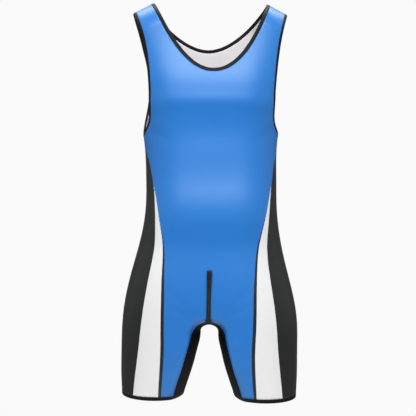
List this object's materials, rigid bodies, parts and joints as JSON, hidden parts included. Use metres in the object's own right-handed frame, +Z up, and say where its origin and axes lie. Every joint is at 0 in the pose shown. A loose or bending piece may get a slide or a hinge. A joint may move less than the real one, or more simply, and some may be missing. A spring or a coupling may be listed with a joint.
{
  "type": "wrestling singlet",
  "caption": "Sleeveless one-piece wrestling singlet with a scooped neck, long armholes, short legs, black edges and gusset, and a short zip up from the crotch; filled out and hollow.",
  "frame": {"origin": "midway between the two shoulder straps, level with the middles of the shoulder seams, where the garment is held up", "axes": "+Z up, the front faces -Y, +X is the wearer's left"},
  "size_m": [0.3758, 0.2307, 0.8343],
  "materials": {
    "blue_knit": "smooth stretch knit, soft sheen",
    "black_knit": "smooth stretch knit, soft sheen",
    "black_elastic": "matt folded elastic",
    "black_zip": "coil zip, slider and tab"
  },
  "bodies": {
    "garment": {"front_panel": "blue_knit", "back_panel": "blue_knit", "inner_leg_gusset": "black_knit", "neck_binding": "black_elastic", "armhole_binding_left": "black_elastic", "armhole_binding_right": "black_elastic", "leg_band_left": "black_elastic", "leg_band_right": "black_elastic", "zip_strip": "black_zip", "zip_slider": "black_zip"},
    "pull_tab": {"zip_pull_tab": "black_zip"}
  },
  "joints": [
    {"name": "pull_tab_hinge", "type": "hinge", "parent": "garment", "child": "pull_tab", "pos_m": [-0.00172, -0.10685, -0.558], "axis": [-1, 0, 0], "range_deg": [0, 150]}
  ]
}
